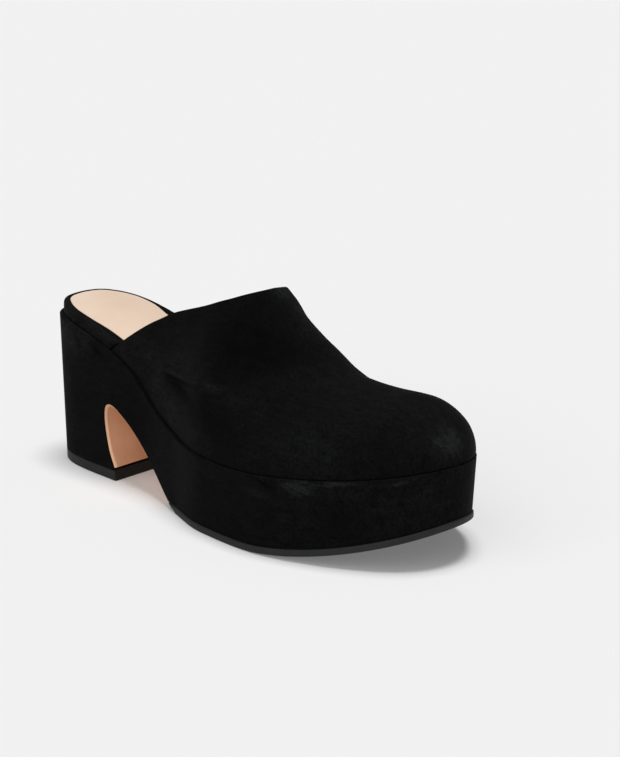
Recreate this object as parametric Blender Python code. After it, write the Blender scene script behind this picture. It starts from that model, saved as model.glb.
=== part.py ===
"""Right platform mule: closed toe, open back, block heel, all in metres.

While it is built the toe points to +X, the outer (lateral) side to -Y and the back of the heel
is at X = 0. The finished pieces are moved so that the bottom centre of the shoe is the origin.
"""
import math

import bmesh
import bpy
import numpy as np

# Sizes of the shoe, EU 37
LENGTH = 0.244
BALL_WIDTH = 0.097
HEEL_HEIGHT = 0.077
PLATFORM_HEIGHT = 0.036
TOE_RISE = 0.0112
TOE_SPRING = 0.0185
SPRING_START = 0.64
INSTEP_RISE = 0.078

# Thicknesses and small steps
OUTSOLE_THICKNESS = 0.0034
OUTSOLE_LIP = 0.0006
LIFT_THICKNESS = 0.0054
COVER_THICKNESS = 0.0011
FOOTBED_THICKNESS = 0.0060
INSOLE_THICKNESS = 0.0010
WALL = 0.0019
GAP = 0.0003

# How the walls of the wrapped block lean
HEEL_RAKE = 0.0028
HEEL_DRAFT = 0.0019
PLATFORM_DRAFT = 0.0008
TOE_RAKE = 0.0008
BLOCK_EDGE_RADIUS = 0.0016
FOOTBED_EDGE_RADIUS = 0.0018

# How far each piece sits inside the outline of the block
UPPER_INSET = 0.0011
UPPER_TOE_INSET = 0.0003
RAND_INSET = 0.0016
BOARD_STEP = 0.00025
COVER_INSET = 0.0004
INSOLE_WAIST_INSET = 0.005
INSOLE_HEEL_REACH = 0.0008

# Half widths of the block as shares of BALL_WIDTH
OUTLINE = (
    ("along", "lateral", "medial"),
    (0.00, 0.000, 0.000),
    (0.02, 0.177, 0.184),
    (0.08, 0.235, 0.270),
    (0.18, 0.277, 0.283),
    (0.30, 0.304, 0.285),
    (0.42, 0.391, 0.320),
    (0.55, 0.515, 0.387),
    (0.68, 0.548, 0.450),
    (0.80, 0.480, 0.458),
    (0.90, 0.365, 0.370),
    (0.96, 0.255, 0.238),
    (1.00, 0.000, 0.000),
)

# Height of the block's top edge: 1 is HEEL_HEIGHT and 0 is PLATFORM_HEIGHT, and the toe
# column adds its share of TOE_RISE
SEAT = (
    ("along", "pitch", "toe"),
    (0.00, 1.00, 0.00),
    (0.12, 0.88, 0.00),
    (0.25, 0.64, 0.00),
    (0.36, 0.21, 0.00),
    (0.47, 0.02, 0.00),
    (0.60, 0.00, 0.00),
    (0.72, 0.00, 0.14),
    (0.86, 0.00, 0.44),
    (1.00, 0.00, 1.00),
)

# Height of the crown of the upper over the block as a share of INSTEP_RISE, how far the
# ridge lies toward the inner side as a share of BALL_WIDTH, and the shape of the section:
# 2 is an ellipse and more is boxier
CROWN = (
    ("along", "rise", "ridge", "boxy"),
    (0.15, 0.93, 0.010, 2.10),
    (0.30, 0.94, 0.015, 2.10),
    (0.40, 0.97, 0.030, 2.10),
    (0.48, 0.98, 0.040, 2.10),
    (0.55, 0.825, 0.038, 2.10),
    (0.62, 0.61, 0.034, 2.10),
    (0.70, 0.44, 0.034, 2.15),
    (0.78, 0.385, 0.036, 2.20),
    (0.86, 0.365, 0.034, 2.25),
    (0.93, 0.275, 0.022, 2.30),
    (0.97, 0.175, 0.010, 2.30),
    (1.00, 0.00, 0.000, 2.30),
)

# Collar line of the upper as a share of the crown's height there
TOPLINE = (
    ("along", "up"),
    (0.205, 0.00),
    (0.26, 0.21),
    (0.33, 0.51),
    (0.41, 0.725),
    (0.47, 0.842),
    (0.50, 0.885),
    (0.528, 1.00),
)

# Side view of the hollow between heel and platform, from the breast of the heel up over
# the top and down the underside of the waist: shares of LENGTH and of HEEL_HEIGHT
HOLLOW = (
    ("along", "up"),
    (0.2190, -0.060),
    (0.2145, 0.070),
    (0.1985, 0.190),
    (0.1885, 0.330),
    (0.1860, 0.430),
    (0.1915, 0.492),
    (0.2080, 0.508),
    (0.2320, 0.480),
    (0.2750, 0.392),
    (0.3240, 0.262),
    (0.3720, 0.133),
    (0.4100, 0.045),
    (0.4380, 0.010),
)

# How far the insole's edge draws back from its room, as a share of INSOLE_WAIST_INSET
INSOLE_EDGE = (
    ("along", "lateral", "medial"),
    (0.00, -0.16, 0.04),
    (0.10, -0.08, 0.20),
    (0.18, 0.34, 1.00),
    (0.23, 0.56, 0.88),
    (0.30, 0.12, 0.24),
    (0.40, 0.04, 0.04),
    (1.00, 0.04, 0.04),
)

STATIONS = 58
ARC_STEPS = 30
EDGE_STEPS = 3


def column(table, name):
    """One named column of a table."""
    place = table[0].index(name)
    return np.array([row[place] for row in table[1:]])


def smooth(xs, ys, at):
    """A smooth curve through points that never overshoots them."""
    step = np.diff(xs)
    rate = np.diff(ys) / step
    slope = np.zeros(len(xs))
    slope[0] = rate[0]
    slope[-1] = rate[-1]
    both = rate[:-1] * rate[1:]
    total = rate[:-1] + rate[1:]
    total = np.where(both > 0.0, total, 1.0)
    slope[1:-1] = np.where(both > 0.0, 2.0 * both / total, 0.0)
    at = np.clip(at, xs[0], xs[-1])
    k = np.clip(np.searchsorted(xs, at, side="right") - 1, 0, len(step) - 1)
    t = (at - xs[k]) / step[k]
    before = (1.0 + 2.0 * t) * (1.0 - t) ** 2 * ys[k] + t * (1.0 - t) ** 2 * step[k] * slope[k]
    after = t * t * (3.0 - 2.0 * t) * ys[k + 1] + t * t * (t - 1.0) * step[k] * slope[k + 1]
    return before + after


def read(table, name, u):
    return smooth(column(table, "along"), column(table, name), u)


def half_width(side, u):
    """Half width of the block on one side; squares are blended so that the ends are round."""
    along = column(OUTLINE, "along")
    squares = column(OUTLINE, side) ** 2
    return BALL_WIDTH * np.sqrt(np.maximum(smooth(along, squares, u), 0.0))


def narrow(width, inset, full):
    """A width less an inset that fades out where the width itself does."""
    return width - inset * np.minimum(width / full, 1.0)


def seat(x):
    """Height of the top edge of the block."""
    u = x / LENGTH
    drop = (HEEL_HEIGHT - PLATFORM_HEIGHT) * read(SEAT, "pitch", u)
    return PLATFORM_HEIGHT + drop + TOE_RISE * read(SEAT, "toe", u)


def spring(x):
    """Height of the tread above the floor, which only the toe leaves."""
    start = SPRING_START * LENGTH
    share = np.clip((x - start) / (LENGTH - start), 0.0, None)
    return TOE_SPRING * share ** 2


def stations(first, last, count):
    """Stations along the shoe, closer together at both ends."""
    turn = np.linspace(0.0, math.pi, count + 1)
    return first + (last - first) * (1.0 - np.cos(turn)) / 2.0


def wall(u, lean, inset):
    """Plan of the block: lean is 1 at the floor and 0 at the top edge."""
    x = inset + u * (LENGTH - 2.0 * inset)
    x = x + HEEL_RAKE * lean * np.clip(1.0 - u / 0.25, 0.0, 1.0)
    x = x - TOE_RAKE * lean * np.clip((u - 0.6) / 0.4, 0.0, 1.0) ** 2
    fade = np.clip((u - 0.2) / 0.2, 0.0, 1.0)
    draft = HEEL_DRAFT + (PLATFORM_DRAFT - HEEL_DRAFT) * fade
    total = inset + draft * lean
    full = 0.2 * BALL_WIDTH
    lateral = narrow(half_width("lateral", u), total, full)
    medial = narrow(half_width("medial", u), total, full)
    return x, lateral, medial


def ring(x, lateral, medial, z):
    """One loop of points: along the outer side to the toe and back along the inner side."""
    out = [(a, -b, c) for a, b, c in zip(x, lateral, z)]
    back = [(a, b, c) for a, b, c in zip(x, medial, z)]
    return out + back[::-1]


def loft(rings):
    """A closed body through loops made by ring, with flat strips across its first and last."""
    bm = bmesh.new()
    loops = [[bm.verts.new(point) for point in one] for one in rings]
    size = len(loops[0])
    for low, high in zip(loops, loops[1:]):
        for i in range(size):
            j = (i + 1) % size
            bm.faces.new((low[i], low[j], high[j], high[i]))
    for loop in (loops[0], loops[-1]):
        for i in range(size // 2 - 1):
            bm.faces.new((loop[i], loop[i + 1], loop[size - 2 - i], loop[size - 1 - i]))
    bmesh.ops.remove_doubles(bm, verts=bm.verts[:], dist=0.000002)
    bmesh.ops.recalc_face_normals(bm, faces=bm.faces[:])
    return bm


def prism(outline, reach):
    """A side-view outline pushed out across the shoe both ways."""
    bm = bmesh.new()
    near = [bm.verts.new((x, -reach, z)) for x, z in outline]
    far = [bm.verts.new((x, reach, z)) for x, z in outline]
    bm.faces.new(near)
    bm.faces.new(far[::-1])
    for i in range(len(near)):
        j = (i + 1) % len(near)
        bm.faces.new((near[i], far[i], far[j], near[j]))
    bmesh.ops.recalc_face_normals(bm, faces=bm.faces[:])
    return bm


def make(name, bm):
    """An object from a bmesh, which is freed."""
    mesh = bpy.data.meshes.new(name)
    bm.to_mesh(mesh)
    bm.free()
    body = bpy.data.objects.new(name, mesh)
    bpy.context.scene.collection.objects.link(body)
    return body


def combine(body, other, how):
    """Join, cut or meet two bodies; the second one is used up."""
    step = body.modifiers.new("step", "BOOLEAN")
    step.operation = how
    step.solver = "EXACT"
    step.object = other
    graph = bpy.context.evaluated_depsgraph_get()
    mesh = bpy.data.meshes.new_from_object(body.evaluated_get(graph))
    body.modifiers.clear()
    old = body.data
    body.data = mesh
    bpy.data.meshes.remove(old)
    bpy.data.objects.remove(other)
    return body


def rounded_levels(radius):
    """Inset and drop of each step of a rounded top edge, from its foot to its top."""
    turns = np.linspace(0.0, math.pi / 2.0, EDGE_STEPS + 1)
    return [(radius * (1.0 - math.cos(t)), radius * (1.0 - math.sin(t))) for t in turns]


def block_foot(x, lift):
    """Underside of the block: over the heel's top lift at the back, over the outsole in front."""
    rise = np.clip((x / LENGTH - 0.26) / 0.08, 0.0, 1.0)
    heel = LIFT_THICKNESS + lift
    tread = OUTSOLE_THICKNESS + lift + spring(x)
    return heel + (tread - heel) * rise


def block(name, inset, lift):
    """Heel and platform as one body, before the hollow between them is cut."""
    u = stations(0.0, 1.0, STATIONS)
    x = wall(u, 1.0, inset)[0]
    lean = 1.0 - (block_foot(x, lift) - spring(x)) / (seat(x) - spring(x))
    x, lateral, medial = wall(u, lean, inset)
    rings = [ring(x, lateral, medial, block_foot(x, lift))]
    for extra, drop in rounded_levels(BLOCK_EDGE_RADIUS):
        x, lateral, medial = wall(u, 0.0, inset + extra)
        rings.append(ring(x, lateral, medial, seat(x) - drop))
    return make(name, loft(rings))


def hollow_line(offset):
    """Side view of the hollow, smoothed, moved into the hollow by offset."""
    along = column(HOLLOW, "along") * LENGTH
    up = column(HOLLOW, "up") * HEEL_HEIGHT
    last = len(along) - 1
    points = []
    for k in range(last):
        rows = (max(k - 1, 0), k, k + 1, min(k + 2, last))
        for t in (0.0, 0.25, 0.5, 0.75):
            weights = (
                -0.5 * t + t * t - 0.5 * t ** 3,
                1.0 - 2.5 * t * t + 1.5 * t ** 3,
                0.5 * t + 2.0 * t * t - 1.5 * t ** 3,
                -0.5 * t * t + 0.5 * t ** 3,
            )
            x = sum(w * along[r] for w, r in zip(weights, rows))
            z = sum(w * up[r] for w, r in zip(weights, rows))
            points.append((x, z))
    points.append((along[-1], up[-1]))
    points = np.array(points)
    run = np.gradient(points, axis=0)
    run = run / np.hypot(run[:, 0], run[:, 1])[:, None]
    into = np.stack([run[:, 1], -run[:, 0]], axis=1)
    return points + offset * into


def hollow(offset):
    """The room between heel and platform as a cutter."""
    line = hollow_line(offset)
    outline = [tuple(point) for point in line]
    outline.append((line[-1][0] + 2.0 * GAP, -2.0 * LIFT_THICKNESS))
    outline.append((line[0][0], -2.0 * LIFT_THICKNESS))
    return make("hollow", prism(outline, BALL_WIDTH))


def rise_at(u):
    """Height of the upper's crown over the block."""
    squares = column(CROWN, "rise") ** 2
    return INSTEP_RISE * np.sqrt(np.maximum(smooth(column(CROWN, "along"), squares, u), 0.0))


def shell_sizes(u, inset):
    """The upper's place, half widths, height and ridge at stations, inset from its outside."""
    toe = np.clip((u - 0.65) / 0.3, 0.0, 1.0)
    total = inset + UPPER_INSET + (UPPER_TOE_INSET - UPPER_INSET) * toe
    first = UPPER_INSET + inset
    x = first + u * (LENGTH - UPPER_TOE_INSET - inset - first)
    full = 0.2 * BALL_WIDTH
    lateral = narrow(half_width("lateral", u), total, full)
    medial = narrow(half_width("medial", u), total, full)
    height = narrow(rise_at(u), inset, 0.35 * INSTEP_RISE)
    ridge = BALL_WIDTH * read(CROWN, "ridge", u)
    return x, lateral, medial, height, ridge


def shell_level(u, inset, height):
    """Plan of the upper's shape at one height over the block."""
    x, lateral, medial, crown, ridge = shell_sizes(u, inset)
    level = np.clip(height / np.maximum(crown, 1e-6), 0.0, 1.0)
    power = read(CROWN, "boxy", u)
    side = (1.0 - level ** power) ** (1.0 / power)
    return x, (lateral + ridge) * side - ridge, (medial - ridge) * side + ridge


def shell_solid(name, first, inset, below):
    """A solid of the upper's shape from a first station on, its floor moved down by below."""
    turn = np.linspace(0.0, math.pi / 2.0, STATIONS + 1)
    u = first + (1.0 - first) * np.sin(turn)
    x, lateral, medial, crown, ridge = shell_sizes(u, inset)
    power = 2.0 / read(CROWN, "boxy", u)
    turns = np.linspace(0.0, math.pi, ARC_STEPS + 1)
    bm = bmesh.new()
    rows = []
    for i in range(STATIONS + 1):
        floor = seat(x[i]) + GAP
        row = []
        for turn in turns:
            reach = -(lateral[i] + ridge[i]) if turn < math.pi / 2.0 else medial[i] - ridge[i]
            y = ridge[i] + reach * abs(math.cos(turn)) ** power[i]
            z = floor + crown[i] * abs(math.sin(turn)) ** power[i]
            row.append(bm.verts.new((x[i], y, z)))
        if below > 0.0:
            row.insert(0, bm.verts.new((x[i], -lateral[i], floor - below)))
            row.append(bm.verts.new((x[i], medial[i], floor - below)))
        rows.append(row)
    for one, two in zip(rows, rows[1:]):
        for k in range(len(one) - 1):
            bm.faces.new((one[k], one[k + 1], two[k + 1], two[k]))
        bm.faces.new((one[-1], one[0], two[0], two[-1]))
    bm.faces.new(rows[0])
    bmesh.ops.remove_doubles(bm, verts=bm.verts[:], dist=0.000002)
    bmesh.ops.recalc_face_normals(bm, faces=bm.faces[:])
    return make(name, bm)


def behind_topline(offset):
    """Everything behind and over the collar line, as a cutter; offset moves the line back."""
    along = column(TOPLINE, "along")
    u = np.linspace(along[0], along[-1], 25)
    x = u * LENGTH
    z = seat(x) + GAP + smooth(along, column(TOPLINE, "up"), u) * rise_at(u)
    line = list(zip(x - offset, z + 0.8 * offset))
    start = line[0]
    end = line[-1]
    outline = [(start[0] - 2.0 * WALL, start[1] - 6.0 * WALL)] + line
    outline.append((end[0] + 2.0 * WALL, end[1] + 4.0 * WALL))
    outline.append((end[0] + 5.0 * WALL, end[1] + INSTEP_RISE))
    outline.append((-INSTEP_RISE, end[1] + INSTEP_RISE))
    outline.append((-INSTEP_RISE, start[1] - 6.0 * WALL))
    return make("behind_topline", prism(outline, BALL_WIDTH))


def front_share(inset, height):
    """The foremost station where the upper's shape is still taller than a height."""
    u = np.linspace(0.5, 1.0, 4001)
    return u[shell_sizes(u, inset)[3] > height][-1]


def thin_board(name, first, low, high, margin):
    """A board that fits inside the upper, between two heights over the block."""
    inset = WALL + GAP
    u = stations(first, front_share(inset, high + GAP), STATIONS)
    x, lateral, medial = shell_level(u, inset, high + GAP)
    if margin:
        fade = np.sin(np.pi * np.clip((u - first) / 0.06, 0.0, 0.5))
        lateral = lateral - fade * INSOLE_WAIST_INSET * read(INSOLE_EDGE, "lateral", u)
        medial = medial - fade * INSOLE_WAIST_INSET * read(INSOLE_EDGE, "medial", u)
        x = x - INSOLE_HEEL_REACH * (1.0 - np.clip(u / 0.2, 0.0, 1.0))
    rings = [ring(x, lateral, medial, seat(x) + GAP + z) for z in (low, high)]
    return make(name, loft(rings))


def build_outsole():
    u = stations(0.3, 1.0, STATIONS)
    x, lateral, medial = wall(u, 1.0, -OUTSOLE_LIP)
    rings = [ring(x, lateral, medial, spring(x) + z) for z in (0.0, OUTSOLE_THICKNESS)]
    return combine(make("outsole", loft(rings)), hollow(0.0), "DIFFERENCE")


def build_top_lift():
    u = stations(0.0, 0.3, STATIONS // 2)
    rings = []
    for z in (0.0, LIFT_THICKNESS):
        x, lateral, medial = wall(u, 1.0 - z / HEEL_HEIGHT, 0.0)
        rings.append(ring(x, lateral, medial, np.full(len(x), z)))
    return combine(make("top_lift", loft(rings)), hollow(0.0), "DIFFERENCE")


def build_sole_block():
    return combine(block("sole_block", 0.0, GAP), hollow(0.0), "DIFFERENCE")


def build_waist_cover():
    sheet = combine(hollow(GAP), hollow(GAP + COVER_THICKNESS), "DIFFERENCE")
    cover = combine(block("waist_cover", COVER_INSET, 2.0 * GAP), sheet, "INTERSECT")
    return cover


def build_footbed():
    u = stations(0.0, 1.0, STATIONS)
    rings = []
    x, lateral, medial = wall(u, 0.0, RAND_INSET)
    rings.append(ring(x, lateral, medial, seat(x) + GAP))
    for extra, drop in rounded_levels(FOOTBED_EDGE_RADIUS):
        x, lateral, medial = wall(u, 0.0, RAND_INSET + extra)
        rings.append(ring(x, lateral, medial, seat(x) + GAP + FOOTBED_THICKNESS - drop))
    rand = combine(make("footbed", loft(rings)), behind_topline(1.5 * GAP), "INTERSECT")
    top = FOOTBED_THICKNESS - BOARD_STEP
    return combine(rand, thin_board("board", 0.1, BOARD_STEP, top, False), "UNION")


def build_insole():
    low = FOOTBED_THICKNESS + GAP
    return thin_board("insole", 0.0, low, low + INSOLE_THICKNESS, True)


def build_upper():
    shell = shell_solid("upper", TOPLINE[1][0] - 0.015, 0.0, 0.0)
    room = shell_solid("room", TOPLINE[1][0] - 0.035, WALL, 2.0 * WALL)
    shell = combine(shell, room, "DIFFERENCE")
    return combine(shell, behind_topline(0.0), "DIFFERENCE")


def paint(body, name, colour, roughness):
    """A plain material, smooth shading and sharp creases."""
    material = bpy.data.materials.new(name)
    material.use_nodes = True
    shader = material.node_tree.nodes["Principled BSDF"]
    shader.inputs["Base Color"].default_value = (*colour, 1.0)
    shader.inputs["Roughness"].default_value = roughness
    material.diffuse_color = (*colour, 1.0)
    body.data.materials.clear()
    body.data.materials.append(material)
    for face in body.data.polygons:
        face.use_smooth = True
        face.material_index = 0
    body.data.set_sharp_from_angle(angle=math.radians(32.0))


def place(body):
    """Moves a piece so that the bottom centre of the whole shoe is the origin."""
    u = np.linspace(0.0, 1.0, 2001)
    shift = (half_width("lateral", u).max() - half_width("medial", u).max()) / 2.0
    for vert in body.data.vertices:
        vert.co.x -= LENGTH / 2.0
        vert.co.y += shift


for leftover in list(bpy.data.objects):
    bpy.data.objects.remove(leftover)

BLACK_SUEDE = (0.012, 0.012, 0.013)
for piece, slot, colour, roughness in (
    (build_outsole(), "outsole_rubber", (0.045, 0.047, 0.048), 0.6),
    (build_top_lift(), "lift_rubber", (0.020, 0.020, 0.021), 0.55),
    (build_sole_block(), "block_suede", BLACK_SUEDE, 0.95),
    (build_waist_cover(), "cover_leather", (0.50, 0.26, 0.15), 0.5),
    (build_footbed(), "rand_suede", BLACK_SUEDE, 0.95),
    (build_insole(), "insole_leather", (0.83, 0.66, 0.53), 0.55),
    (build_upper(), "upper_suede", BLACK_SUEDE, 0.95),
):
    paint(piece, slot, colour, roughness)
    place(piece)
    print(piece.name, len(piece.data.vertices), "points")
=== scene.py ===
# %% [markdown]
# # A black suede platform mule
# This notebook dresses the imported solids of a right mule: closed toe, open back, block heel.
# Each piece is modelled again in the same place, in more detail, and gets the material a shoemaker
# would use. We start by loading the solids, which are the fixed frame.

# %% Load the frame
import math

import bmesh
import bpy
import numpy as np
from mathutils import Matrix, Vector


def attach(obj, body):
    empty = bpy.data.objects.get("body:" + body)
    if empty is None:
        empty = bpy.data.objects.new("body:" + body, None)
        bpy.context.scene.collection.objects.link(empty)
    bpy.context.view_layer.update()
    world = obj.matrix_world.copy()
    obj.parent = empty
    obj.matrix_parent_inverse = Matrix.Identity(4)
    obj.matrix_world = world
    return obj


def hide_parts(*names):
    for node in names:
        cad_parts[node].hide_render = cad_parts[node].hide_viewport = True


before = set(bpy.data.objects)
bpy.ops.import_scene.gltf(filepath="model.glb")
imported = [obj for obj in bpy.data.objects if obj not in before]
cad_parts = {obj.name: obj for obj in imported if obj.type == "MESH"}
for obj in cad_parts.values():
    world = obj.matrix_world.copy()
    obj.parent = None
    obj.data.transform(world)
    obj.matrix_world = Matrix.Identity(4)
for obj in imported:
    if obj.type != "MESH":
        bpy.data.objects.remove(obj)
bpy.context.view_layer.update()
print("solids:", sorted(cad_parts))

# %% [markdown]
# ## The last
# A shoe is built round a last, a model of the foot. Every piece here follows the same few curves,
# so we keep them as short tables: shares of the length along the shoe, and shares of a named size.
# They are the solids' tables; sizes are in metres, with the toe to +X. The outline, the crown and
# the collar have a few more points here: they round the heel and the toe evenly and follow the
# photograph to about a millimetre.

# %% Sizes of the shoe
LENGTH = 0.244
BALL_WIDTH = 0.097
HEEL_HEIGHT = 0.077
PLATFORM_HEIGHT = 0.036
TOE_RISE = 0.0112
TOE_SPRING = 0.0185
SPRING_START = 0.64
INSTEP_RISE = 0.078
OUTSOLE_THICKNESS = 0.0034
OUTSOLE_LIP = 0.0006
LIFT_THICKNESS = 0.0054
COVER_THICKNESS = 0.0011
FOOTBED_THICKNESS = 0.0060
WALL = 0.0019
GAP = 0.0003
HEEL_RAKE = 0.0028
HEEL_DRAFT = 0.0019
PLATFORM_DRAFT = 0.0008
TOE_RAKE = 0.0008
FOOTBED_EDGE_RADIUS = 0.0018
UPPER_INSET = 0.0011
UPPER_TOE_INSET = 0.0003
RAND_INSET = 0.0016
BOARD_STEP = 0.00025
COVER_INSET = 0.0004
INSOLE_WAIST_INSET = 0.005
INSOLE_HEEL_SETBACK = 0.0014
# Where a piece is narrower or lower than these, its insets fade.
THIN_WIDTH = 0.2 * BALL_WIDTH
THIN_RISE = 0.35 * INSTEP_RISE
# Stations, as shares of the length, where the heel's part ends and the toe's part begins.
HEEL_PART = 0.25
TOE_PART = 0.6
# Where a value starts to change along the shoe, and over how much of its length it does.
DRAFT_CHANGE = (0.2, 0.2)
UPPER_INSET_CHANGE = (0.65, 0.3)
FOOT_CHANGE = (0.26, 0.08)
CREST_CHANGE = (0.04, 0.10)
print("length", LENGTH * 1000, "mm, heel", HEEL_HEIGHT * 1000, "mm")

# %% Curves of the last
# Half widths as shares of the ball width.
OUTLINE = (
    ("along", "lateral", "medial"),
    (0.0, 0.0, 0.0), (0.007, 0.126, 0.126), (0.02, 0.1755, 0.181),
    (0.045, 0.217, 0.23), (0.08, 0.2455, 0.263), (0.13, 0.266, 0.282), (0.18, 0.278, 0.288),
    (0.3, 0.304, 0.284), (0.42, 0.391, 0.32), (0.55, 0.515, 0.387), (0.68, 0.548, 0.45),
    (0.74, 0.526, 0.458), (0.8, 0.481, 0.452), (0.85, 0.431, 0.426), (0.9, 0.367, 0.369),
    (0.93, 0.318, 0.316), (0.96, 0.252, 0.241), (0.98, 0.185, 0.172), (1.0, 0.0, 0.0),
)
# Height of the block's top edge between platform and heel, and the rise of the toe.
SEAT = (
    ("along", "pitch", "toe"),
    (0.0, 1.0, 0.0), (0.12, 0.88, 0.0), (0.25, 0.64, 0.0), (0.36, 0.21, 0.0),
    (0.47, 0.02, 0.0), (0.6, 0.0, 0.0), (0.72, 0.0, 0.14), (0.86, 0.0, 0.44),
    (1.0, 0.0, 1.0),
)
# Crown of the upper: its rise, how far its ridge lies inward, and how boxy its section is.
CROWN = (
    ("along", "rise", "ridge", "boxy"),
    (0.15, 0.93, 0.01, 2.1), (0.3, 0.94, 0.015, 2.1), (0.4, 0.97, 0.034, 2.1),
    (0.48, 0.992, 0.043, 2.1), (0.53, 0.892, 0.035, 2.1), (0.55, 0.803, 0.036, 2.1),
    (0.59, 0.685, 0.041, 2.1), (0.62, 0.611, 0.041, 2.1), (0.66, 0.5, 0.037, 2.12),
    (0.7, 0.427, 0.034, 2.15), (0.78, 0.384, 0.036, 2.2), (0.86, 0.364, 0.034, 2.25),
    (0.93, 0.275, 0.022, 2.3), (0.97, 0.175, 0.01, 2.3), (1.0, 0.0, 0.0, 2.3),
)
# Collar line as a share of the crown's height.
TOPLINE = (
    ("along", "up"),
    (0.205, 0.0), (0.26, 0.21), (0.33, 0.518), (0.365, 0.632), (0.41, 0.732), (0.44, 0.782),
    (0.47, 0.824), (0.485, 0.846), (0.5, 0.883), (0.5295, 1.0),
)
# Side view of the arch under the waist, from the breast of the heel round to the platform.
HOLLOW = (
    ("along", "up"),
    (0.219, -0.06), (0.2145, 0.07), (0.1985, 0.19), (0.1885, 0.33), (0.186, 0.43),
    (0.1915, 0.492), (0.208, 0.508), (0.232, 0.48), (0.275, 0.392), (0.324, 0.262),
    (0.372, 0.133), (0.41, 0.045), (0.438, 0.01),
)
# How far the insole's edge draws back from its room.
INSOLE_EDGE = (
    ("along", "lateral", "medial"),
    (0.0, 0.1, 0.1), (0.06, 0.06, 0.16), (0.12, 0.22, 0.4), (0.18, 0.58, 1.0),
    (0.23, 0.7, 0.95), (0.3, 0.2, 0.3), (0.4, 0.04, 0.04), (1.0, 0.04, 0.04),
)


def column(table, name):
    """One named column of a table."""
    place = table[0].index(name)
    return np.array([row[place] for row in table[1:]])


def smooth(xs, ys, at):
    """A smooth curve through points that never overshoots them."""
    step = np.diff(xs)
    rate = np.diff(ys) / step
    slope = np.zeros(len(xs))
    slope[0], slope[-1] = rate[0], rate[-1]
    both = rate[:-1] * rate[1:]
    total = np.where(both > 0.0, rate[:-1] + rate[1:], 1.0)
    slope[1:-1] = np.where(both > 0.0, 2.0 * both / total, 0.0)
    at = np.clip(at, xs[0], xs[-1])
    k = np.clip(np.searchsorted(xs, at, side="right") - 1, 0, len(step) - 1)
    t = (at - xs[k]) / step[k]
    before = (1.0 + 2.0 * t) * (1.0 - t) ** 2 * ys[k] + t * (1.0 - t) ** 2 * step[k] * slope[k]
    after = t * t * (3.0 - 2.0 * t) * ys[k + 1] + t * t * (t - 1.0) * step[k] * slope[k + 1]
    return before + after


def read(table, name, u, power=1):
    """A column of a table, or a power of it, at stations along the shoe."""
    return smooth(column(table, "along"), column(table, name) ** power, u)


def ramp(value, start, run):
    """A straight rise from 0 at start to 1 a run further on."""
    return np.clip((value - start) / run, 0.0, 1.0)


def eased(value, run):
    """A rise from 0 at 0 to 1 at run that levels out like a sine."""
    return np.sin(np.pi * np.clip(value / (2.0 * run), 0.0, 0.5))


def half_width(side, u):
    """Half width of the block on one side; squares are blended so that the ends are round."""
    return BALL_WIDTH * np.sqrt(np.maximum(read(OUTLINE, side, u, 2), 0.0))


def narrow(width, inset, full):
    """A width less an inset that fades out where the width itself does."""
    return width - inset * np.minimum(width / full, 1.0)


def widths(u, inset):
    """Half widths of both sides less an inset, the outer side's first."""
    return [narrow(half_width(side, u), inset, THIN_WIDTH) for side in ("lateral", "medial")]


def seat(x):
    """Height of the top edge of the block."""
    u = x / LENGTH
    drop = (HEEL_HEIGHT - PLATFORM_HEIGHT) * read(SEAT, "pitch", u)
    return PLATFORM_HEIGHT + drop + TOE_RISE * read(SEAT, "toe", u)


def spring(x):
    """Height of the tread above the floor, which only the toe leaves."""
    start = SPRING_START * LENGTH
    return TOE_SPRING * np.clip((x - start) / (LENGTH - start), 0.0, None) ** 2


sample = np.linspace(0.0, 1.0, 2001)
SHIFT = (half_width("lateral", sample).max() - half_width("medial", sample).max()) / 2.0
print("widest outer side", round(float(half_width("lateral", sample).max()) * 1000, 1), "mm")

# %% [markdown]
# ## Two surfaces to build on
# The wall of the wrapped block leans a little, and so do the rubber pieces that continue it. The
# upper is a tent over the block: at each station its section is half of a rounded box. All the
# pieces are read from these two surfaces at different depths, so they nest like the real layers.

# %% Block and upper surfaces


def wall(u, lean, inset):
    """Plan of the block: lean is 1 at the floor and 0 at the top edge."""
    x = inset + u * (LENGTH - 2.0 * inset)
    x = x + HEEL_RAKE * lean * (1.0 - ramp(u, 0.0, HEEL_PART))
    x = x - TOE_RAKE * lean * ramp(u, TOE_PART, 1.0 - TOE_PART) ** 2
    draft = HEEL_DRAFT + (PLATFORM_DRAFT - HEEL_DRAFT) * ramp(u, *DRAFT_CHANGE)
    return x, *widths(u, inset + draft * lean)


def shell_sizes(u, inset):
    """The upper's place, half widths, height and ridge at stations, inset from its outside."""
    total = inset + UPPER_INSET + (UPPER_TOE_INSET - UPPER_INSET) * ramp(u, *UPPER_INSET_CHANGE)
    first = UPPER_INSET + inset
    x = first + u * (LENGTH - UPPER_TOE_INSET - inset - first)
    rise = INSTEP_RISE * np.sqrt(np.maximum(read(CROWN, "rise", u, 2), 0.0))
    ridge = BALL_WIDTH * read(CROWN, "ridge", u)
    return x, *widths(u, total), narrow(rise, inset, THIN_RISE), ridge


def shell_point(u, t, inset):
    """Points of the upper: t runs from 0 at the outer floor over the ridge to 1."""
    x, lateral, medial, crown, ridge = shell_sizes(u, inset)
    power = 2.0 / read(CROWN, "boxy", u)
    turn = np.pi * t
    reach = np.where(turn < np.pi / 2.0, -(lateral + ridge), medial - ridge)
    y = ridge + reach * np.abs(np.cos(turn)) ** power
    z = seat(x) + GAP + crown * np.abs(np.sin(turn)) ** power
    return np.stack([x, y, z], axis=-1)


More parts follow.
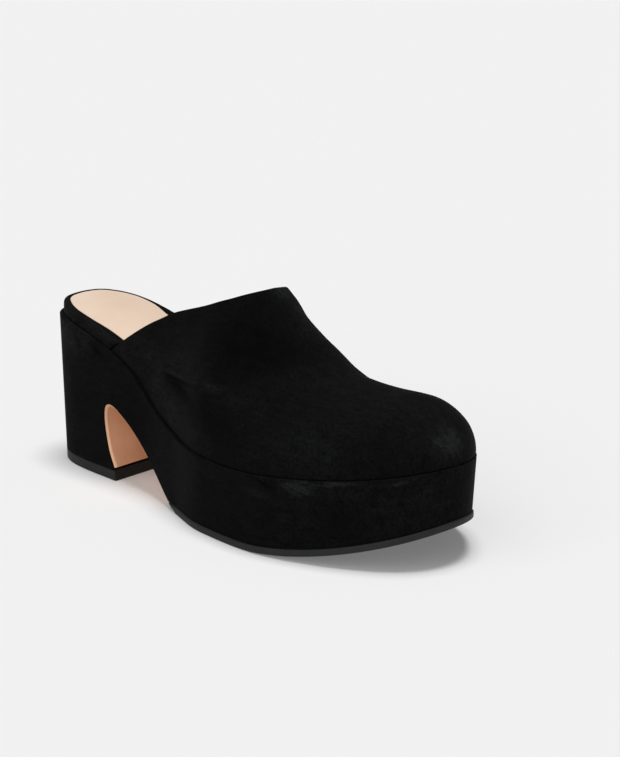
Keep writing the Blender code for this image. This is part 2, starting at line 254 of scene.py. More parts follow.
def shell_level(u, inset, height):
    """Plan of the upper's shape at one height over the block."""
    x, lateral, medial, crown, ridge = shell_sizes(u, inset)
    level = np.clip(height / np.maximum(crown, 1e-6), 0.0, 1.0)
    power = read(CROWN, "boxy", u)
    side = (1.0 - level ** power) ** (1.0 / power)
    return x, (lateral + ridge) * side - ridge, (medial - ridge) * side + ridge


print("ridge at the instep", np.round(shell_point(np.array([0.5]), np.array([0.5]), 0.0), 4))

# %% [markdown]
# ## From rows of points to a mesh
# Each body is a grid made by Blender that is laid over rows of points, as a shoemaker pulls a flat
# hide over a last. Merging the doubled points closes it. A body wrapped like a parcel has a foot,
# a wall on each side and a top, so one function makes the block, the rand, the insole and the
# rubber pieces from their levels.

# %% Laying a grid
# Points closer than this are one point, and an end narrower than this needs no cap.
DOUBLED = 0.000002
POINTED = 0.0001
ROUND_ENDS = (0.05, 0.90)


def in_scene(name, data):
    """An object that holds some data, linked to the scene."""
    item = bpy.data.objects.new(name, data)
    bpy.context.scene.collection.objects.link(item)
    return item


def as_object(bm, name):
    """An object made from a bmesh, which is used up."""
    mesh = bpy.data.meshes.new(name)
    bm.to_mesh(mesh)
    bm.free()
    return in_scene(name, mesh)


def lay(name, points, nap=None, closed=True):
    """A grid laid over rows of points in the last's frame, moved to the shoe's own origin."""
    rows, cols = points.shape[:2]
    bm = bmesh.new()
    bmesh.ops.create_grid(bm, x_segments=cols - 1, y_segments=rows - 1, size=0.5)
    layer = bm.verts.layers.float.new("nap")
    shades = np.zeros(rows * cols) if nap is None else nap.ravel()
    for vert, place, shade in zip(bm.verts, points.reshape(-1, 3), shades):
        vert.co = (place[0] - LENGTH / 2.0, place[1] + SHIFT, place[2])
        vert[layer] = shade
    bmesh.ops.remove_doubles(bm, verts=bm.verts[:], dist=DOUBLED)
    if closed:
        bmesh.ops.recalc_face_normals(bm, faces=bm.faces[:])
    return as_object(bm, name)


def parcel(name, levels, across, crown=0.0, tread=None, nap=None):
    """A closed body from levels (x, lateral, medial, z), from its foot to its top."""
    x, lateral, medial, z = (np.stack(part, axis=1) for part in zip(*levels))
    share = np.linspace(0.0, 1.0, across + 1)[None, 1:-1]
    arch = crown * np.sin(np.pi * share)
    over = -lateral[:, -1:] + (lateral + medial)[:, -1:] * share
    under = medial[:, :1] - (lateral + medial)[:, :1] * share
    tops = z[:, -1:] + arch
    feet = z[:, :1] + (0.0 * share if tread is None else tread(x[:, :1], under))
    wide = np.ones_like(over)
    xs = [x, x[:, -1:] * wide, x[:, ::-1], x[:, :1] * wide, x[:, :1]]
    ys = [-lateral, over, medial[:, ::-1], under, -lateral[:, :1]]
    zs = [z, tops, z[:, ::-1], feet, z[:, :1]]
    points = np.stack([np.concatenate(part, axis=1) for part in (xs, ys, zs)], axis=-1)
    for end in (0, -1):
        if np.ptp(points[end, :, 1]) > POINTED:
            flat = points[end][None].copy()
            flat[..., 1] = flat[..., 1].mean()
            points = np.concatenate([points, flat] if end else [flat, points])
    return lay(name, *(nap(points) if nap else (points,)))


def wall_levels(u, lean, height, steps):
    """Levels of a parcel on the wall, over a height, from (inset, lift) steps."""
    levels = []
    for inset, lift in steps:
        x, lateral, medial = wall(u, lean, inset)
        levels.append((x, lateral, medial, height(x) + lift))
    return levels


def rounded(radius, steps):
    """Inset and drop of each step of a rounded top edge, from its foot to its top."""
    turns = np.linspace(0.0, math.pi / 2.0, steps + 1)
    return [(radius * (1.0 - math.cos(t)), radius * (1.0 - math.sin(t))) for t in turns]


def crowded(count, places):
    """Shares from 0 to 1 that crowd together at places (centre, reach, strength)."""
    even = np.linspace(0.0, 1.0, 1001)
    density = np.ones_like(even)
    for centre, reach, strength in places:
        density += strength * np.exp(-((even - centre) / reach) ** 2)
    total = np.concatenate([[0.0], np.cumsum((density[1:] + density[:-1]) / 2.0)])
    return np.interp(np.linspace(0.0, total[-1], count), total, even)


def stations(first, last, count):
    """Even stations, drawn close together where the shoe's round ends need them."""
    heel_end, toe_start = ROUND_ENDS
    parts = []
    if first < heel_end:
        turn = np.linspace(0.0, math.pi / 2.0, count // 5)
        parts.append(first + (heel_end - first) * (1.0 - np.cos(turn))[:-1])
        first = heel_end
    middle = min(last, toe_start)
    parts.append(np.linspace(first, middle, count, endpoint=False))
    if last > toe_start:
        turn = np.linspace(0.0, math.pi / 2.0, count // 4)
        parts.append(toe_start + (last - toe_start) * np.sin(turn))
    else:
        parts.append(np.array([last]))
    return np.concatenate(parts)


print("stations along the whole block:", len(stations(0.0, 1.0, 150)))

# %% [markdown]
# ## Cutting
# The arch is cut out of the block and the rubber with a Boolean, as the real core is sawn. The
# cutter is the side view of the hollow pushed out across the shoe.

# %% Cutters
HOLLOW_STEPS = 8
CATMULL_ROM = np.array([(0.0, 1.0, 0.0, 0.0), (-0.5, 0.0, 0.5, 0.0), (1.0, -2.5, 2.0, -0.5),
                        (-0.5, 1.5, -1.5, 0.5)])
# Edges sharper than these angles, in degrees, stay crisp.
HIDE_ANGLE, LEATHER_ANGLE, WRAP_ANGLE, RUBBER_ANGLE = 50.0, 40.0, 35.0, 30.0


def cutter(name, outline):
    """A side view extruded across the shoe."""
    bm = bmesh.new()
    verts = [bm.verts.new((x - LENGTH / 2.0, -BALL_WIDTH, z)) for x, z in outline]
    face = bm.faces.new(verts)
    side = bmesh.ops.extrude_face_region(bm, geom=[face])
    moved = [part for part in side["geom"] if isinstance(part, bmesh.types.BMVert)]
    bmesh.ops.translate(bm, verts=moved, vec=(0.0, 2.0 * BALL_WIDTH, 0.0))
    bmesh.ops.recalc_face_normals(bm, faces=bm.faces[:])
    return as_object(bm, name)


def modify(piece, name, kind, **settings):
    """Give a piece a modifier with its settings."""
    step = piece.modifiers.new(name, kind)
    for key, value in settings.items():
        setattr(step, key, value)


def combine(body, tool, how):
    """Join, cut or meet two bodies; the tool is used up."""
    modify(body, "step", "BOOLEAN", operation=how, solver="EXACT", object=tool)
    graph = bpy.context.evaluated_depsgraph_get()
    old = body.data
    body.data = bpy.data.meshes.new_from_object(body.evaluated_get(graph))
    body.modifiers.clear()
    bpy.data.meshes.remove(old)
    bpy.data.objects.remove(tool)


def hollow_line(offset):
    """Side view of the hollow, smoothed, moved into the hollow by offset."""
    along = column(HOLLOW, "along") * LENGTH
    up = column(HOLLOW, "up") * HEEL_HEIGHT
    last = len(along) - 1
    knots = np.stack([along, up], axis=1)
    points = []
    for k in range(last):
        rows = [max(k - 1, 0), k, k + 1, min(k + 2, last)]
        for t in np.arange(HOLLOW_STEPS) / HOLLOW_STEPS:
            points.append(np.array([1.0, t, t * t, t ** 3]) @ CATMULL_ROM @ knots[rows])
    points = np.array([*points, knots[-1]])
    run = np.gradient(points, axis=0)
    run = run / np.hypot(run[:, 0], run[:, 1])[:, None]
    return points + offset * np.stack([run[:, 1], -run[:, 0]], axis=1)


def hollow():
    """The room between heel and platform."""
    line = [tuple(point) for point in hollow_line(0.0)]
    under = -2.0 * LIFT_THICKNESS
    return cutter("hollow", [*line, (line[-1][0] + 2.0 * GAP, under), (line[0][0], under)])


def behind_topline(offset):
    """Everything behind and over the collar line; offset moves the line back."""
    u = np.linspace(TOPLINE[1][0], TOPLINE[-1][0], 60)
    x = u * LENGTH
    z = seat(x) + GAP + read(TOPLINE, "up", u) * shell_sizes(u, 0.0)[3]
    line = list(zip(x - offset, z + 0.8 * offset))
    # The cutter reaches well past the upper on its other sides.
    floor, roof = line[0][1] - 6.0 * WALL, line[-1][1] + INSTEP_RISE
    line = [(line[0][0] - 2.0 * WALL, floor), *line, (line[-1][0] + 5.0 * WALL, roof)]
    return cutter("behind_topline", [*line, (-INSTEP_RISE, roof), (-INSTEP_RISE, floor)])


def finish_piece(piece, degrees, arched=False):
    """Cut the arch where a piece spans it and smooth its faces, but not edges past an angle."""
    if arched:
        combine(piece, hollow(), "DIFFERENCE")
    for face in piece.data.polygons:
        face.use_smooth = True
    piece.data.set_sharp_from_angle(angle=math.radians(degrees))
    print(piece.name + ":", len(piece.data.polygons), "faces")


print("arch from x", round(float(hollow_line(0.0)[:, 0].min()) * 1000, 1), "mm")

# %% [markdown]
# ## Creases, nap and painted shade
# Suede that is pulled over a last keeps soft folds, and its nap lies this way or that, which the
# eye reads as paler or darker patches. Both are listed. A fold is a short run of points on the
# surface with a depth (below zero is a trough) and a width in millimetres; its ridge is painted
# paler and its trough darker, partly as rubbed nap and partly as painted highlight and shade. A
# patch is one point with a reach in millimetres and a shade; a few patches are painted highlight
# and shade. Both shades are kept in the vertex attribute nap for the material.

# %% Relief helpers
MM = 0.001
# Gain of the folds' shade: ridges paler (rubbed nap, painted highlight), troughs darker (painted
# shade).
FOLD_SHADE_AND_RUB = 2.2
FOLD_STEPS = 12


def fold_relief(points, path, rows):
    """Height of one soft fold, which fades at both ends, and its rubbed nap and painted shade."""
    steps = np.linspace(0.0, len(rows) - 1.0, FOLD_STEPS * (len(rows) - 1) + 1)
    index = np.arange(len(rows))
    line = np.stack([np.interp(steps, index, path[:, axis]) for axis in range(3)], axis=1)
    depth = MM * np.interp(steps, index, [row[-2] for row in rows])
    width = MM * np.interp(steps, index, [row[-1] for row in rows])
    far = np.stack([np.linalg.norm(points - spot, axis=-1) for spot in line])
    near = far.argmin(axis=0)
    relief = depth[near] * np.exp(-(far.min(axis=0) / width[near]) ** 2)
    return relief, FOLD_SHADE_AND_RUB * relief / width[near]


def patch_shade(points, spots):
    """Shade from patches (place, reach, shade): the nap's lie, and on the upper some painted light.
    """
    shade = np.zeros(points.shape[:2])
    for place, reach, value in spots:
        far = np.linalg.norm(points - place, axis=-1)
        shade += value * np.exp(-(far / (MM * reach)) ** 2)
    return shade


def outward(points):
    """Unit normals of rows of points, from their neighbours."""
    along = np.gradient(points, axis=0)
    over = np.gradient(points, axis=1)
    normal = np.cross(along, over)
    size = np.linalg.norm(normal, axis=-1, keepdims=True)
    return normal / np.maximum(size, 1e-12)


print("relief helpers ready")

# %% [markdown]
# ## The upper
# The suede of the upper is one hide. Its rows start on the collar line, so that edge runs true,
# and crowd together at the collar and at the seam, where the hide turns in. The folds come from
# the photograph: one runs forward from the outer side of the waist, with a trough under it, and
# broad soft ones cross the instep where the foot bends.

# %% Suede hide of the upper
ROWS_ALONG = 230
ROWS_ROUND = 200
FOLDED_ALONG = ((0.25, 0.14, 1.2),)
FOLDED_ROUND = ((0.11, 0.09, 1.5), (0.30, 0.20, 0.5))
SUEDE_THICKNESS = 0.0011
COLLAR_RISE = 2.1
EDGE_HEIGHTS = (0.0, 0.00025, 0.0006, 0.0011, 0.0018, 0.0028)
RIM_STEPS = (0.0, 0.0003, 0.0007, 0.0013, 0.0022)
SEAM_TUCK = 0.0003
RIM_ROLL = 0.0002
INNER_COLLAR_DROP = 0.006
TOE_CROWDING = 0.65
TOE_FADE = 0.02
EDGE_LIMIT = 0.02
GRID_PASSES = 4
EDGE_RADIUS = 0.0003
EDGE_ANGLE = 55.0

FOLDS = (
    # along, round, depth, width
    ((0.366, 0.089, 0, 1), (0.388, 0.098, 0.35, 1), (0.424, 0.109, 0.5, 1.1),
     (0.454, 0.116, 0.5, 1.2), (0.492, 0.122, 0.45, 1.3), (0.531, 0.146, 0.35, 1.4),
     (0.561, 0.169, 0.25, 1.5), (0.6, 0.215, 0, 1.8)),
    ((0.372, 0.088, 0, 0.9), (0.404, 0.098, -0.4, 1), (0.438, 0.107, -0.55, 1.1),
     (0.47, 0.113, -0.45, 1.2), (0.505, 0.122, -0.35, 1.2), (0.54, 0.148, 0, 1.3)),
    ((0.47, 0.106, 0, 1.1), (0.498, 0.116, 0.35, 1.2), (0.53, 0.136, 0.4, 1.3),
     (0.561, 0.159, 0.3, 1.4), (0.6, 0.19, 0, 1.6)),
    ((0.37, 0.084, 0, 2.6), (0.395, 0.087, -0.7, 3), (0.434, 0.091, -1.1, 3.4),
     (0.464, 0.089, -1, 3.8), (0.492, 0.083, -0.8, 4.4), (0.512, 0.076, -0.6, 5),
     (0.54, 0.055, 0, 6)),
    ((0.34, 0.05, 0, 6), (0.38, 0.045, 0.4, 7), (0.43, 0.045, 0.5, 7), (0.49, 0.035, 0, 7)),
    ((0.5, 0.15, 0, 6), (0.545, 0.185, -0.5, 7), (0.59, 0.235, -0.7, 8), (0.63, 0.3, -0.5, 9),
     (0.67, 0.38, 0, 9)),
    ((0.56, 0.285, 0, 7), (0.584, 0.33, -0.5, 8), (0.605, 0.38, -0.7, 8.5),
     (0.625, 0.44, -0.7, 8.5), (0.64, 0.52, -0.5, 8.5), (0.65, 0.64, 0, 8)),
    ((0.58, 0.23, 0, 6), (0.635, 0.3, 0.4, 7), (0.67, 0.4, 0.5, 7.5), (0.695, 0.5, 0.4, 7.5),
     (0.695, 0.64, 0, 7)),
    ((0.4, 0.9, 0, 4), (0.45, 0.9, -0.9, 4.5), (0.52, 0.885, -0.8, 6), (0.59, 0.84, 0, 7)),
    ((0.43, 0.86, 0, 4), (0.49, 0.858, 0.6, 4.5), (0.56, 0.825, 0.4, 5.5), (0.62, 0.78, 0, 6)),
)
# Most patches are the nap's lie. The bright ones near round 0.55, from along 0.532 to 0.64, are a
# painted highlight on the collar's front corner and the ridge behind it; the broad dark ones at
# along 0.541 and 0.59 are partly the nap's lie and partly painted shade of the instep's folds.
UPPER_PATCHES_AND_HIGHLIGHTS = (
    # along, round, reach, shade
    (0.337, 0.066, 10, 0.5), (0.372, 0.04, 8, 0.4), (0.419, 0.036, 8, 0.42), (0.484, 0.03, 7, 0.35),
    (0.237, 0.013, 10, 0.5), (0.295, 0.076, 10, 0.3), (0.412, 0.14, 10, 0.3), (0.46, 0.135, 8, 0.2),
    (0.526, 0.095, 8, -0.35), (0.515, 0.152, 8, 0.22), (0.57, 0.185, 10, 0.12),
    (0.44, 0.29, 10, -0.12), (0.574, 0.095, 10, -0.3), (0.609, 0.069, 10, -0.25),
    (0.541, 0.26, 20, -0.25), (0.59, 0.36, 18, -0.4), (0.49, 0.4, 16, -0.16),
    (0.43, 0.26, 14, -0.08), (0.532, 0.53, 5, 2.4), (0.545, 0.6, 6, 0.9), (0.57, 0.6, 6, 0.45),
    (0.56, 0.03, 6, 0.2), (0.98, 0.397, 6, 2.8), (0.975, 0.5, 5, 0.9), (0.768, 0.132, 12, 0.25),
    (0.821, 0.03, 10, 0.3), (0.62, 0.56, 14, 0.1), (0.76, 0.48, 18, 0.05), (0.6, 0.8, 16, 0.3),
    (0.45, 0.86, 10, 0.35), (0.72, 0.7, 20, 0.1), (0.9, 0.2, 12, -0.2), (0.7, 0.25, 16, -0.15),
    (0.614, 0.192, 10, 0.15), (0.93, 0.52, 14, 0.16), (0.86, 0.35, 16, 0.12), (0.6, 0.56, 6, 0.45),
    (0.64, 0.57, 7, 0.35),
)


def hide_grid(inset, rows, cols, rim):
    """Stations and turns of a hide that starts on the collar line."""
    line_u = np.linspace(TOPLINE[1][0], TOPLINE[-1][0], 400)
    line_up = read(TOPLINE, "up", line_u)
    rim_rows = len(RIM_STEPS)
    even = crowded(rows - rim_rows + 1, FOLDED_ALONG)[1:]
    ease = (1.0 - TOE_CROWDING) * even + TOE_CROWDING * np.sin(np.pi / 2.0 * even)
    ease[-1] = 1.0
    side = len(EDGE_HEIGHTS)
    t = np.tile(np.linspace(0.0, 1.0, cols)[None], (rows, 1))
    u = np.zeros_like(t)
    for _ in range(GRID_PASSES):
        share = np.abs(np.sin(np.pi * t[0])) ** (2.0 / COLLAR_RISE)
        inner = np.sin(2.0 * np.pi * np.clip(t[0] - 0.5, 0.0, 0.5))
        start = np.interp(share, line_up, line_u) + rim / LENGTH + INNER_COLLAR_DROP * inner
        u[:rim_rows] = start + np.array(RIM_STEPS)[:, None] / LENGTH
        u[rim_rows:] = u[rim_rows - 1] + (1.0 - u[rim_rows - 1]) * ease[:, None]
        crown = shell_sizes(u, inset)[3]
        power = read(CROWN, "boxy", u) / 2.0
        for k, height in enumerate(EDGE_HEIGHTS):
            part = np.minimum(height / np.maximum(crown, 1e-6), EDGE_LIMIT * k)
            turn = np.arcsin(part ** power) / np.pi
            t[:, k] = turn[:, k]
            t[:, cols - 1 - k] = 1.0 - turn[:, cols - 1 - k]
        middle = crowded(cols - 2 * side + 2, FOLDED_ROUND)[None, 1:-1]
        low = t[:, side - 1:side]
        high = t[:, cols - side:cols - side + 1]
        t[:, side:cols - side] = low + (high - low) * middle
    return u, t


def open_shell(name, inset, rows, cols, rim, thickness, detailed):
    """A hide or lining: an open grid over the last that is given its thickness inward."""
    u, t = hide_grid(inset, rows, cols, rim)
    points = shell_point(u, t, inset)
    base = points.copy()
    normal = outward(points)
    normal *= np.sign(normal[rows // 2, cols // 2, 2])
    relief, shade = np.zeros((2, *u.shape))
    # Folds also paint ridges paler and troughs darker: partly rubbed nap, partly painted highlight
    # and shade.
    for fold in FOLDS:
        table = np.array(fold)
        height, rub_and_shade = fold_relief(base, shell_point(table[:, 0], table[:, 1], inset), fold)
        relief += height
        shade += rub_and_shade
    if detailed:
        spots = [(shell_point(np.array(a), np.array(b), inset), c, d) for a, b, c, d in UPPER_PATCHES_AND_HIGHLIGHTS]
        shade += patch_shade(base, spots)
        for k, step in enumerate(RIM_STEPS[:3]):
            relief[k] -= RIM_ROLL * (1.0 - step / RIM_STEPS[3]) ** 2
        for k, height in enumerate(EDGE_HEIGHTS[:4]):
            relief[:, [k, cols - 1 - k]] -= SEAM_TUCK * (1.0 - height / EDGE_HEIGHTS[4]) ** 2
    relief *= ramp(1.0 - u, 0.0, TOE_FADE)
    piece = lay(name, points + normal * relief[..., None], shade, closed=False)
    middle = piece.data.polygons[len(piece.data.polygons) // 2]
    if middle.normal.z < 0.0:
        piece.data.flip_normals()
    modify(piece, "thickness", "SOLIDIFY", thickness=thickness, offset=-1.0, use_even_offset=False)
    return piece


upper_suede = open_shell("upper_suede", 0.0, ROWS_ALONG, ROWS_ROUND, 0.0, SUEDE_THICKNESS, True)
modify(upper_suede, "soft_edge", "BEVEL", width=EDGE_RADIUS, segments=2, limit_method="ANGLE",
       angle_limit=math.radians(EDGE_ANGLE))
finish_piece(upper_suede, HIDE_ANGLE)

# %% [markdown]
# ## The lining
# Inside the suede lies a thin pale leather lining. From the side only its edge shows, as a fine
# light line at the collar. It is a sheet of the same kind, so we lay a second grid in the first.

# %% Leather lining
GLUE = 0.00012
LINING_RIM = -0.0005
LINING_GRID = (130, 120)
LINING_INSET = SUEDE_THICKNESS + GLUE
LINING_THICKNESS = WALL - LINING_INSET
upper_lining = open_shell(
    "upper_lining", LINING_INSET, *LINING_GRID, LINING_RIM, LINING_THICKNESS, False)
finish_piece(upper_lining, HIDE_ANGLE)

# %% [markdown]
# ## The wrapped block
# Heel and platform are one light core with suede pulled round it. Where the hide is stretched over
# the curve of the platform it keeps a few fine slanting wrinkles under the seam. The wall is laid
# as a parcel with a rounded top edge, and the arch is cut through afterwards.

# %% Block of heel and platform
BLOCK_LEVELS = 56
WRINKLED_UP = ((0.90, 0.14, 2.6),)
WRINKLED_ALONG = ((0.80, 0.09, 1.6),)
WRAP_EDGE_RADIUS = 0.0010
# Painted highlight on the wrinkles' ridges and shade in their troughs, partly rubbed nap; stronger
# here.
WRINKLE_SHADE_AND_RUB = 1.7
WRINKLES = (
    # side (0 outer), then along, share of wall height, depth, width
    (0, (0.74, 0.98, 0, 0.6), (0.761, 0.93, 0.34, 0.7), (0.778, 0.87, 0.4, 0.7),
     (0.797, 0.82, 0.34, 0.7), (0.822, 0.78, 0, 0.8)),
    (0, (0.752, 0.985, 0, 0.6), (0.776, 0.92, 0.34, 0.6), (0.795, 0.87, 0.36, 0.6),
     (0.818, 0.835, 0, 0.7)),
    (0, (0.764, 0.985, 0, 0.6), (0.789, 0.925, 0.32, 0.6), (0.806, 0.9, 0.32, 0.6),
     (0.834, 0.885, 0, 0.7)),
    (0, (0.774, 0.985, 0, 0.6), (0.806, 0.95, 0.3, 0.6), (0.834, 0.93, 0.28, 0.6),
     (0.87, 0.925, 0, 0.7)),
    (0, (0.74, 0.945, 0, 0.7), (0.76, 0.88, 0.32, 0.7), (0.775, 0.81, 0.3, 0.8),
     (0.795, 0.765, 0, 0.9)),
    (0, (0.812, 0.975, 0, 0.6), (0.84, 0.962, 0.3, 0.6), (0.868, 0.958, 0.26, 0.6),
     (0.892, 0.95, 0, 0.6)),
    (0, (0.925, 0.87, 0, 0.7), (0.942, 0.885, 0.28, 0.7), (0.955, 0.915, 0.28, 0.7),
     (0.972, 0.955, 0, 0.7)),
    (0, (0.69, 0.96, 0, 0.8), (0.715, 0.9, -0.25, 1), (0.745, 0.8, 0, 1.2)),
    (0, (0.66, 0.8, 0, 1.2), (0.7, 0.74, 0.22, 1.6), (0.75, 0.62, 0, 1.8)),
    (0, (0.06, 0.88, 0, 2), (0.1, 0.84, 0.3, 3), (0.15, 0.83, 0, 3)),
    (0, (0.12, 0.98, 0, 1.4), (0.17, 0.93, -0.35, 1.8), (0.215, 0.9, 0, 1.8)),
    (1, (0.72, 0.95, 0, 0.8), (0.77, 0.9, 0.3, 0.9), (0.82, 0.8, 0, 1)),
    (1, (0.7, 0.88, 0, 0.8), (0.76, 0.82, 0.28, 0.9), (0.8, 0.74, 0, 1)),
)
BLOCK_PATCHES = (
    # along, side, share of wall height, reach, shade
    (0.055, 0, 0.9, 8, 1.9), (0.13, 0, 0.95, 6, 0.8), (0.02, 0, 0.6, 12, 0.35),
    (0.1, 0, 0.45, 14, -0.22), (0.765, 0, 0.93, 7, 0.22), (0.79, 0, 0.86, 7, 0.2),
    (0.86, 0, 0.9, 7, 0.35), (0.99, 0, 0.65, 14, 0.5), (0.3, 0, 0.6, 16, -0.4),
    (0.6, 0, 0.3, 20, -0.2), (0.765, 0, 0.6, 12, 0.2), (0.86, 0, 0.4, 10, -0.2),
    (0.25, 1, 0.7, 16, 0.35), (0.8, 1, 0.6, 14, 0.35), (0.93, 0, 0.55, 14, 0.22),
)


def block_foot(x, lift):
    """Underside of the block: over the top lift at the back, over the outsole in front."""
    rise = ramp(x / LENGTH, *FOOT_CHANGE)
    heel = LIFT_THICKNESS + lift
    return heel + (OUTSOLE_THICKNESS + lift + spring(x) - heel) * rise


def block_point(u, side, share):
    """A point of the block's wall: side 0 is the outer one, share runs up the wall."""
    u = np.array(float(u))
    x, lateral, medial = wall(u, 1.0 - share, 0.0)
    foot = block_foot(x, GAP)
    return np.array([x, medial if side else -lateral, foot + (seat(x) - foot) * share])


def dress_block(points):
    """Wrinkles of the block's suede with their rubbed nap and painted highlight and shade, and its
    nap.
    """
    normal = outward(points)
    plan = points * (1.0, 1.0, 0.0) - (LENGTH / 2.0, 0.0, 0.0)
    normal *= np.sign((normal * plan).sum())
    relief, shade = np.zeros((2, *points.shape[:2]))
    for side, *rows in WRINKLES:
        path = np.array([block_point(row[0], side, row[1]) for row in rows])
        height, rub_and_shade = fold_relief(points, path, rows)
        relief += height
        shade += WRINKLE_SHADE_AND_RUB * rub_and_shade
    spots = [(block_point(a, b, c), d, e) for a, b, c, d, e in BLOCK_PATCHES]
    return points + normal * relief[..., None], shade + patch_shade(points, spots)


along = stations(0.0, 1.0, 300)
u = np.interp(crowded(len(along), WRINKLED_ALONG), np.linspace(0.0, 1.0, len(along)), along)
foot_x = wall(u, 1.0, 0.0)[0]
foot = block_foot(foot_x, GAP)
top = seat(foot_x) - WRAP_EDGE_RADIUS
levels = []
for share in crowded(BLOCK_LEVELS + 1, WRINKLED_UP)[:-1]:
    z = foot + (top - foot) * share
    lean = 1.0 - (z - spring(foot_x)) / (seat(foot_x) - spring(foot_x))
    levels.append((*wall(u, lean, 0.0), z))
levels += wall_levels(u, 0.0, seat, [(i, -drop) for i, drop in rounded(WRAP_EDGE_RADIUS, 5)])
block_wrap = parcel("block_wrap", levels, across=6, nap=dress_block)
finish_piece(block_wrap, WRAP_ANGLE, arched=True)

# %% [markdown]
# ## Rand, footbed and insole
# Round the heel a padded board wrapped in suede, the rand, sits on the block with a soft rounded
# edge, and it goes on inside the upper as the footbed. The pale leather insole lies on it, drawn
# in at the inner waist. All of them are parcels; the rand is cut along the collar line and joined
# to the board.

# %% Footbed with its rand
RAND_CREST = 0.0004
RAND_RECESS = 0.0008
RAND_BEVEL = 0.0004
RAND_SEAM = 0.4 * GAP
RAND_CUT = 1.1 * GAP
RAND_UPRIGHT = 0.6
RAND_PALENESS = 0.62
RAND_PATCHES = (
    # along, side (0 outer), reach, shade
    (0.015, 0, 12, 0.7), (0.18, 0, 8, 0.35), (0.1, 0, 10, 0.1), (0.1, 1, 20, 0.2),
)


def dress_rand(points):
    """Shade of the rand's suede: paler all over, and paler still at the back and beside the collar.
    """
    spots = [(block_point(a, side, 1.0), c, d) for a, side, c, d in RAND_PATCHES]
    return points, RAND_PALENESS + patch_shade(points, spots)


u = stations(0.0, 0.5, 150)
bevel = ((RAND_INSET + RAND_BEVEL, 0.0), (RAND_INSET, RAND_BEVEL))
levels = wall_levels(u, 0.0, lambda x: seat(x) + RAND_SEAM, bevel)
edge = rounded(FOOTBED_EDGE_RADIUS + RAND_CREST, 8)
crest = [(RAND_UPRIGHT * extra, drop) for extra, drop in edge]
crest += [(crest[-1][0] + RAND_BEVEL, 0.0001), (crest[-1][0] + 2.0 * RAND_BEVEL, RAND_RECESS)]
rim = FOOTBED_THICKNESS + RAND_CREST * (1.0 - ramp(u, *CREST_CHANGE))
levels += wall_levels(
    u, 0.0, lambda x: seat(x) + GAP + rim, [(RAND_INSET + extra, -drop) for extra, drop in crest])
footbed_rand = parcel("footbed_rand", levels, across=4, nap=dress_rand)
combine(footbed_rand, behind_topline(RAND_CUT), "INTERSECT")


def front_share(inset, height):
    """The foremost station where the upper's shape is still taller than a height."""
    at = np.linspace(0.5, 1.0, 4001)
    return at[shell_sizes(at, inset)[3] > height][-1]


def inner_levels(first, steps, count):
    """Levels of a board inside the upper, from (height, inset) steps."""
    inset = WALL + GAP
    top = steps[-1][0] + GAP
    at = stations(first, front_share(inset, top), count)
    x, lateral, medial = shell_level(at, inset, top)
    return at, x, lateral, medial, [(seat(x) + GAP + h, i) for h, i in steps]


board_top = FOOTBED_THICKNESS - BOARD_STEP
_, x, lateral, medial, heights = inner_levels(0.1, [(BOARD_STEP, 0.0), (board_top, 0.0)], 90)
board = parcel("board", [(x, lateral, medial, z) for z, _ in heights], across=3)
combine(footbed_rand, board, "UNION")
finish_piece(footbed_rand, WRAP_ANGLE)

# %% Leather insole
INSOLE_EDGE_RADIUS = 0.0003
INSOLE_PADDING = 0.0014
INSOLE_END = 0.03
PADDED_FROM = 0.10
INSOLE_SHOWN = 1.8 * INSOLE_EDGE_RADIUS
low = FOOTBED_THICKNESS - 0.5 * INSOLE_EDGE_RADIUS
top = low + INSOLE_SHOWN
steps = [(low, INSOLE_EDGE_RADIUS / 2.0), (low + INSOLE_EDGE_RADIUS / 2.0, 0.0)]
steps += [(top - drop, extra) for extra, drop in rounded(INSOLE_EDGE_RADIUS, 4)]
at, x, lateral, medial, heights = inner_levels(0.0, steps, 130)
fade = eased(at, INSOLE_END)
lateral, medial = (
    width - fade * INSOLE_WAIST_INSET * read(INSOLE_EDGE, side, at)
    for side, width in (("lateral", lateral), ("medial", medial)))
x = x + INSOLE_HEEL_SETBACK * (1.0 - ramp(at, 0.0, 2.0 * PADDED_FROM))
full = 10.0 * INSOLE_EDGE_RADIUS
levels = [(x, narrow(lateral, i, full), narrow(medial, i, full), z) for z, i in heights]
padding = INSOLE_PADDING * eased(at, PADDED_FROM)[:, None]
insole_sock = parcel("insole_sock", levels, across=22, crown=padding)
finish_piece(insole_sock, LEATHER_ANGLE)

# %% [markdown]
# ## Leather under the arch
# Smooth tan leather covers the underside of the waist and runs down the front of the heel, the
# breast. It is a thin sheet that follows the hollow's line, so we lay it from rows along that
# line, as wide as the block is at each height.

# %% Waist cover
COVER_SKIVE = 0.0009
# Painted shade makes its leather browner up in the arch and towards the middle of the shoe.
ARCH_SHADE_HEIGHTS = (0.018, 0.030)
INWARD_SHADE_SHARES = (0.0, 0.40)
COVER_PAINTED_SHADE = (0.65, 0.25)
# The cover ends on the top lift where it is lower and further back than these shares.
BREAST_ALONG = 0.235
BREAST_UP = 0.3
line_near = hollow_line(GAP)
line_far = hollow_line(GAP + COVER_THICKNESS)
behind = line_near[:, 0] < BREAST_ALONG * LENGTH
below = line_near[:, 1] < BREAST_UP * HEEL_HEIGHT
foot_of_cover = np.where(behind & below, LIFT_THICKNESS, OUTSOLE_THICKNESS) + 2.0 * GAP
keep = line_near[:, 1] > foot_of_cover
line_near, line_far = line_near[keep], line_far[keep]


